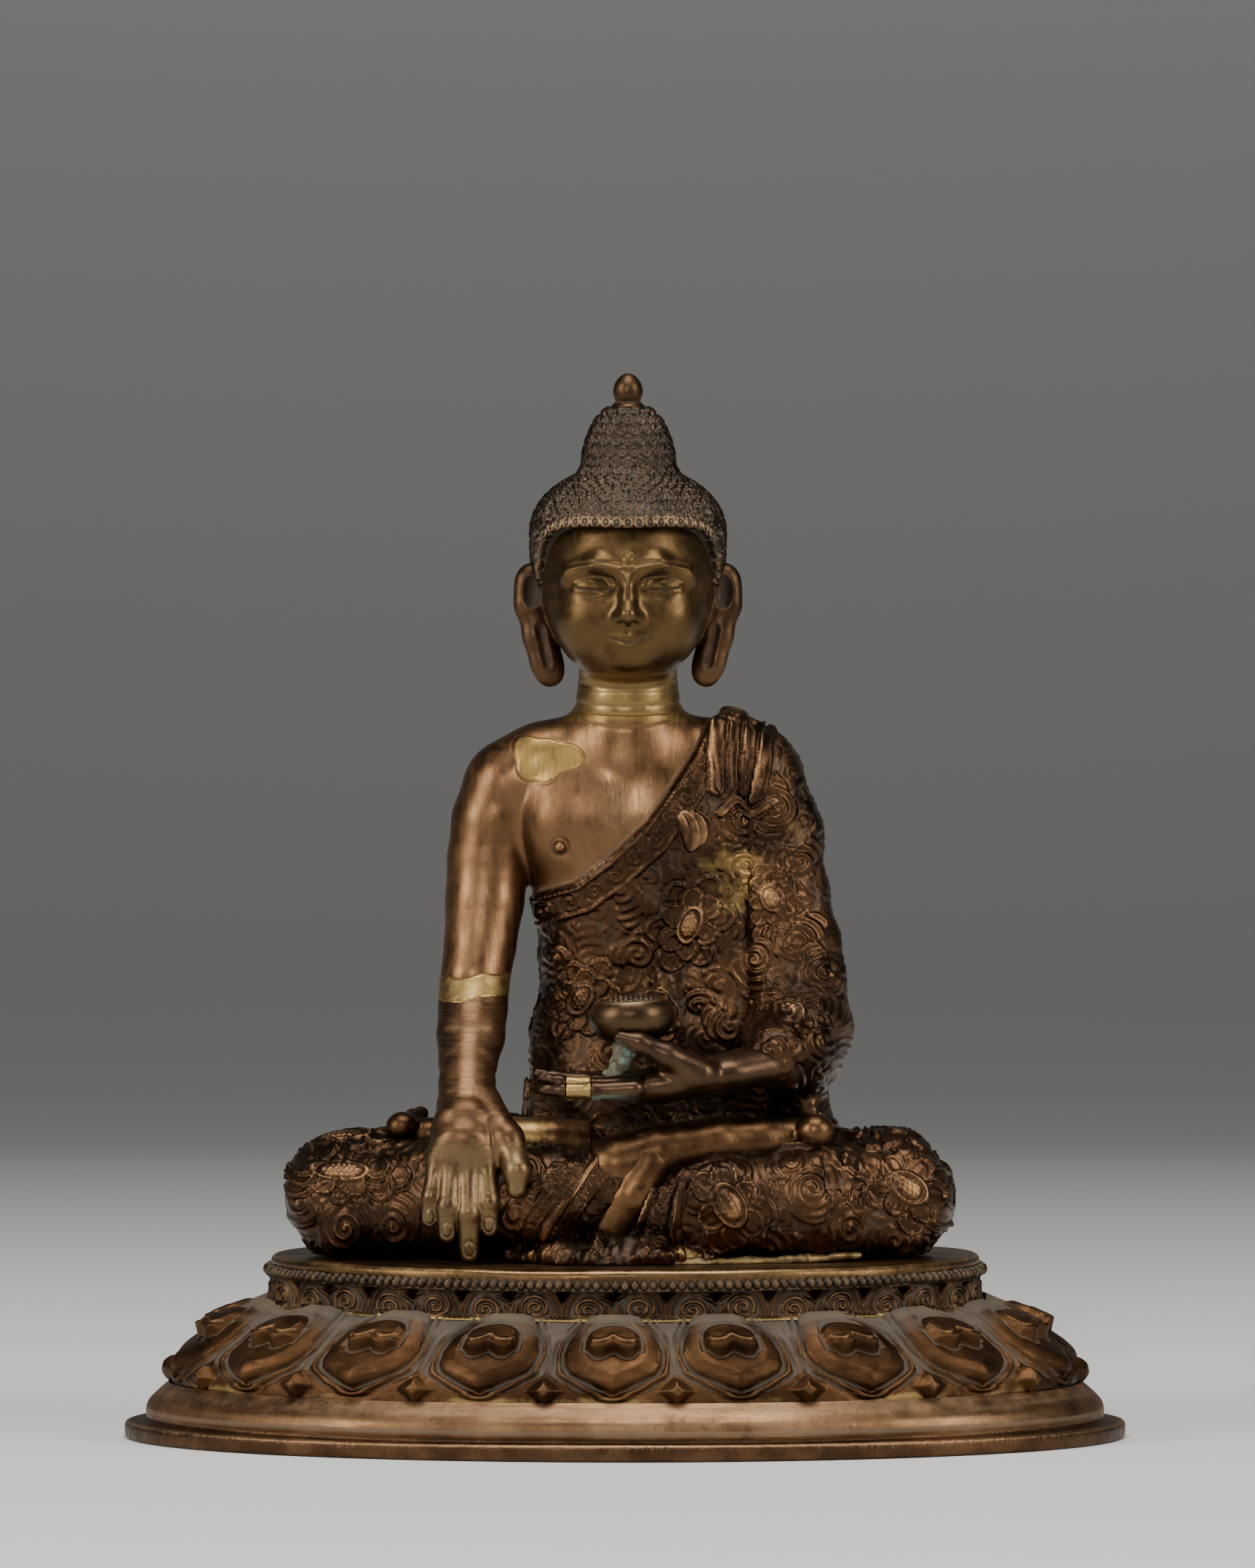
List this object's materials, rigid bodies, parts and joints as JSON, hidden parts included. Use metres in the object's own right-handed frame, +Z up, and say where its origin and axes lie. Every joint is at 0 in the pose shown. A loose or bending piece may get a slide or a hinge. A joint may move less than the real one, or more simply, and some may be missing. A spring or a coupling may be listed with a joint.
{
  "type": "buddha statue",
  "caption": "Cast-metal Buddha seated cross-legged, one hand reaching down to touch the deck, the other holding an alms bowl, on a hollow oval lotus base.",
  "frame": {"origin": "centre of the base's oval footprint, on the surface it stands on", "axes": "+Z up; the figure looks along -Y and its left side is +X"},
  "size_m": [0.207, 0.132, 0.22],
  "materials": {
    "base_bronze": "rubbed brown patina",
    "plate_copper": "sheet copper, dull",
    "robe_patina": "dark patina with rubbed high spots",
    "skin_copper": "brushed satin",
    "hair_patina": "dark patina",
    "face_bronze": "satin",
    "braze_brass": "filed brass",
    "verdigris_braze": "corroded"
  },
  "bodies": {
    "root": {"lotus_base": "base_bronze", "base_plate": "plate_copper", "pierced_frieze": "robe_patina", "deck_plate": "skin_copper", "beaded_rim": "base_bronze", "tang_pins": "braze_brass", "crossed_legs": "robe_patina", "torso": "skin_copper", "shoulder_patch": "braze_brass", "left_arm_sleeve": "robe_patina", "left_hand": "skin_copper", "finger_repair": "braze_brass", "alms_bowl": "hair_patina", "bowl_braze_post": "verdigris_braze", "forearm_braze_band": "braze_brass", "right_forearm_hand": "skin_copper", "neck_braze_collar": "braze_brass", "head": "face_bronze", "finial_jewel": "skin_copper", "leg_braze_seam": "braze_brass"}
  },
  "joints": []
}
